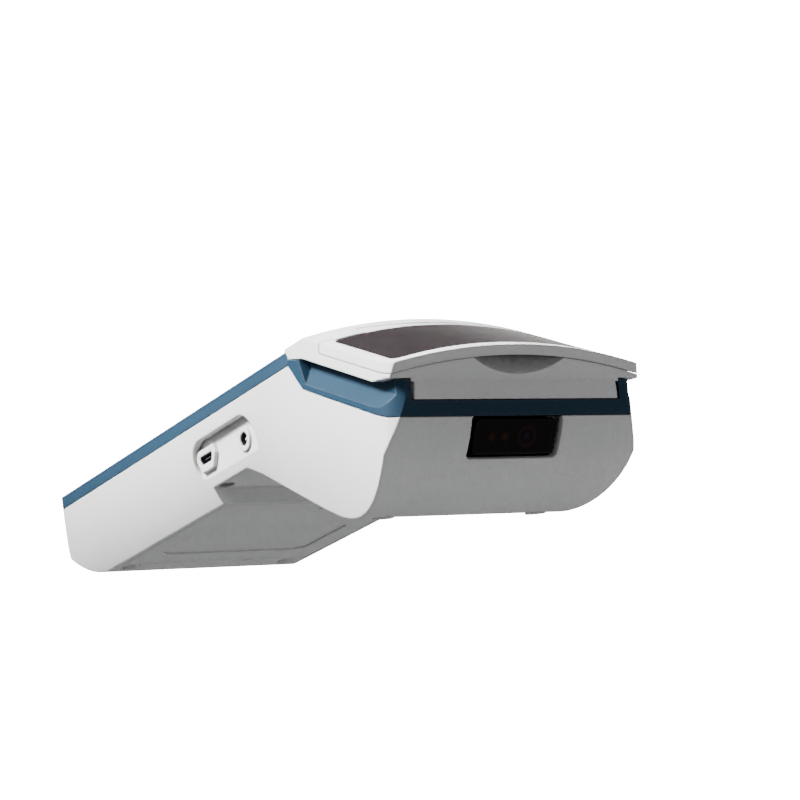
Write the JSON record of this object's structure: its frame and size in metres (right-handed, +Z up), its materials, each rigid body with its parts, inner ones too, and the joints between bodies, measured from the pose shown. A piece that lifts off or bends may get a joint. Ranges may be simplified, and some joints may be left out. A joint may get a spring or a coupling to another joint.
{
  "type": "card payment terminal",
  "caption": "Handheld card payment terminal: sloped touch handset, bent receipt printer head with a hinged crowned lid, code scan window, side sockets and a removable battery cover.",
  "frame": {"origin": "under the middle of the bounding box, on the plane of the four feet", "axes": "+X across the device (socket side), +Y towards the printer head, +Z up out of the screen"},
  "size_m": [0.0843, 0.2118, 0.0574],
  "materials": {
    "case_white": "fine satin texture",
    "lid_white": "smooth satin",
    "rim_blue": "satin, slightly glossy",
    "window_dark": "smoked, glossy",
    "scan_dark": "deep red-black, glossy",
    "cover_white": "fine satin texture",
    "latch_grey": "matte",
    "battery_black": "wrapped, matte",
    "contact_gold": "plated",
    "foot_rubber": "matte",
    "screw_steel": "plated",
    "front_glass": "black-backed, glossy",
    "lcd_dark": "dark",
    "antenna_copper": "printed copper loop",
    "board_green": "solder mask",
    "shield_tin": "stamped",
    "holder_steel": "stamped",
    "connector_black": "moulded",
    "usb_steel": "stamped",
    "button_grey": "satin",
    "button_orange": "satin",
    "shaft_steel": "turned",
    "spring_steel": "drawn wire",
    "bracket_black": "moulded",
    "platen_rubber": "ground rubber",
    "gear_ivory": "acetal",
    "pinion_brass": "cut brass",
    "chassis_steel": "zinc plated",
    "head_ceramic": "ground",
    "plate_aluminium": "cast",
    "motor_can": "drawn",
    "tear_steel": "stamped",
    "bay_grey": "moulded",
    "paper_white": "thermal paper",
    "core_brown": "rolled",
    "engine_black": "moulded",
    "lens_glass": "coated lens",
    "led_yellow": "clear resin"
  },
  "bodies": {
    "case": {"bottom_case": "case_white", "mid_frame": "rim_blue", "head_frame": "lid_white", "battery_pack": "battery_black", "battery_contacts": "contact_gold", "rubber_feet": "foot_rubber", "case_screws": "screw_steel", "chassis_screws": "screw_steel", "touch_glass": "front_glass", "lcd_module": "lcd_dark", "nfc_antenna": "antenna_copper", "main_pcb": "board_green", "shield_cans": "shield_tin", "sim_sam_holders": "holder_steel", "card_reader": "connector_black", "speaker": "connector_black", "usb_receptacle": "usb_steel", "dc_jack": "connector_black", "hinge_pin": "shaft_steel", "lid_spring": "spring_steel", "printer_chassis": "chassis_steel", "print_head": "head_ceramic", "heat_plate": "plate_aluminium", "head_springs": "spring_steel", "stepper_motor": "motor_can", "tear_bar": "tear_steel", "paper_bay": "bay_grey", "scan_window": "scan_dark", "scan_engine": "engine_black", "scan_lens": "lens_glass", "scan_leds": "led_yellow"},
    "cover": {"battery_cover": "cover_white"},
    "latch": {"cover_latch": "latch_grey"},
    "lid": {"paper_lid": "lid_white", "lid_window": "window_dark", "platen_carrier": "bracket_black"},
    "platen": {"platen_roller": "platen_rubber", "platen_shaft": "shaft_steel", "platen_gear": "gear_ivory"},
    "idler": {"idler_gear": "gear_ivory"},
    "pinion": {"motor_pinion": "pinion_brass"},
    "roll": {"paper_roll": "paper_white", "roll_core": "core_brown"},
    "power": {"power_button": "button_grey"},
    "scan_key": {"scan_button": "button_orange"},
    "volume": {"volume_rocker": "button_grey"}
  },
  "joints": [
    {"name": "lid_hinge", "type": "hinge", "parent": "case", "child": "lid", "pos_m": [0, 0.069, 0.0505], "axis": [1, 0, 0], "range_deg": [0, 52]},
    {"name": "platen_spin", "type": "hinge", "parent": "lid", "child": "platen", "pos_m": [0, 0.0928, 0.0354], "axis": [1, 0, 0], "continuous": true},
    {"name": "idler_spin", "type": "hinge", "parent": "case", "child": "idler", "pos_m": [-0.0333, 0.08965, 0.02686], "axis": [1, 0, 0], "continuous": true},
    {"name": "pinion_spin", "type": "hinge", "parent": "case", "child": "pinion", "pos_m": [-0.0333, 0.0921, 0.0202], "axis": [1, 0, 0], "continuous": true},
    {"name": "roll_spin", "type": "hinge", "parent": "case", "child": "roll", "pos_m": [0, 0.0667, 0.0236], "axis": [1, 0, 0], "continuous": true},
    {"name": "cover_lift", "type": "slide", "parent": "case", "child": "cover", "axis": [0, 0.1564, -0.9877], "range_m": [0, 0.03]},
    {"name": "latch_slide", "type": "slide", "parent": "cover", "child": "latch", "axis": [1, 0, 0], "range_m": [0, 0.0024], "stiffness_N_per_m": 150},
    {"name": "power_press", "type": "slide", "parent": "case", "child": "power", "axis": [1, 0, 0], "range_m": [0, 0.0003], "stiffness_N_per_m": 1500},
    {"name": "scan_press", "type": "slide", "parent": "case", "child": "scan_key", "axis": [1, 0, 0], "range_m": [0, 0.0003], "stiffness_N_per_m": 1500},
    {"name": "volume_rock", "type": "hinge", "parent": "case", "child": "volume", "pos_m": [-0.0382, -0.02125, 0.0356], "axis": [0, -0.1564, 0.9877], "range_deg": [-1.2, 1.2], "stiffness_Nm_per_rad": 0.08}
  ],
  "couplings": [
    {"joint": "idler_spin", "follows": "platen_spin", "ratio": -1.25},
    {"joint": "pinion_spin", "follows": "platen_spin", "ratio": 1.6667}
  ]
}
